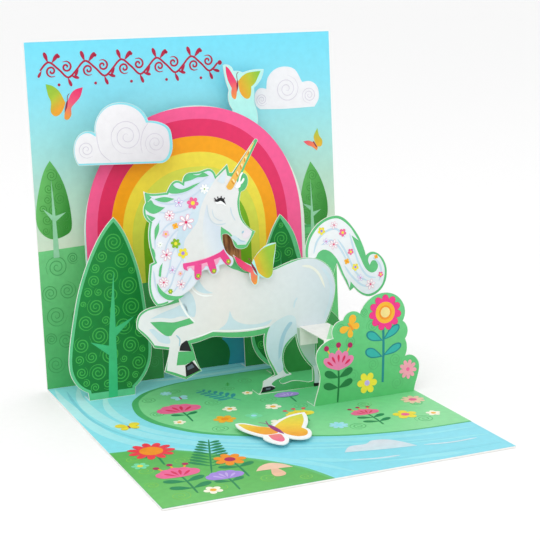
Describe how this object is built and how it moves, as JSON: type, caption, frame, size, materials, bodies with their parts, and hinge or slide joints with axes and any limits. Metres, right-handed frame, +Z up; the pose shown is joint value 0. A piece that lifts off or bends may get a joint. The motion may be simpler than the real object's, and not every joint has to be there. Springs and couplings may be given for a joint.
{
  "type": "pop up card",
  "caption": "Square folded pop-up card, opened to stand: layers cut as a rainbow, trees, unicorn, cloud, butterflies and flower bush, held parallel to the back panel by paper straps",
  "frame": {"origin": "centre of the lower panel's underside, on the surface that the card stands on", "axes": "+Z up, +X along the fold to the right as seen from the front, +Y from the front edge towards the fold and the back panel"},
  "size_m": [0.1288, 0.1433, 0.1336],
  "materials": {
    "backdrop_print": "matt printed card",
    "rainbow_print": "matt printed card",
    "strip_print": "matt printed card",
    "cloud_print": "matt printed card",
    "tree_print": "matt printed card",
    "unicorn_print": "matt printed card",
    "tail_print": "matt printed card",
    "head_print": "matt printed card",
    "back_butterfly_print": "matt printed card",
    "bush_print": "matt printed card",
    "front_butterfly_print": "matt printed card",
    "strap_white": "matt unprinted paper",
    "strap_brown": "matt printed paper",
    "foam": "matt white foam pad"
  },
  "bodies": {
    "root": {"backdrop_card": "backdrop_print", "rainbow_arch": "rainbow_print", "rainbow_strap": "strap_white", "butterfly_strip": "strip_print", "cloud": "cloud_print", "cloud_strap": "strap_white", "left_tree": "tree_print", "left_tree_strap": "strap_white", "right_tree": "tree_print", "right_tree_strap": "strap_white", "unicorn_body": "unicorn_print", "unicorn_strap": "strap_brown", "unicorn_tail": "tail_print", "head_pad_upper": "foam", "head_pad_lower": "foam", "unicorn_head": "head_print", "back_butterfly_pad": "foam", "back_butterfly": "back_butterfly_print", "flower_bush": "bush_print", "bush_strap": "strap_white", "front_butterfly_pad": "foam", "front_butterfly": "front_butterfly_print"}
  },
  "joints": []
}
